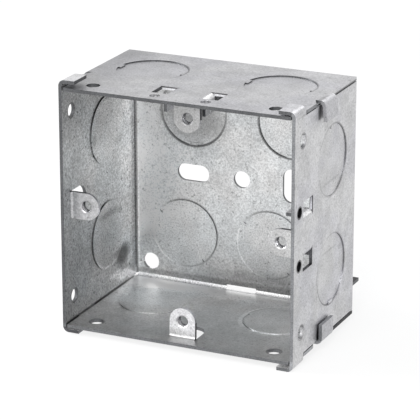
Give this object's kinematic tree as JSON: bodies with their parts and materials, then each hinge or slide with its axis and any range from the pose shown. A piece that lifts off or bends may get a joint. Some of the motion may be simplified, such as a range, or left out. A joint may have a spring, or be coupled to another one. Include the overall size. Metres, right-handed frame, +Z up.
{
  "type": "flush back box",
  "caption": "Folded galvanised steel back box with round knockouts, fixed and sliding screw lugs and slotted fixing holes.",
  "frame": {"origin": "middle of the front opening, in the plane of the rim", "axes": "+X to the right seen from the front, +Y back into the wall, +Z up"},
  "size_m": [0.0753, 0.0562, 0.0762],
  "materials": {
    "galvanised_sheet": "hot-dip galvanised sheet steel, dull, finely mottled, with dark sheared edges",
    "galvanised_lug": "galvanised sheet steel, brighter and pressed smooth"
  },
  "bodies": {
    "box": {"back_box": "galvanised_sheet"},
    "right_lug": {"right_lug": "galvanised_lug"},
    "top_lug": {"top_lug": "galvanised_lug"}
  },
  "joints": [
    {"name": "right_lug_slide", "type": "slide", "parent": "box", "child": "right_lug", "axis": [0, 0, 1], "range_m": [-0.0001, 0.0039]},
    {"name": "top_lug_slide", "type": "slide", "parent": "box", "child": "top_lug", "axis": [1, 0, 0], "range_m": [-0.0037, 0.0003]}
  ]
}
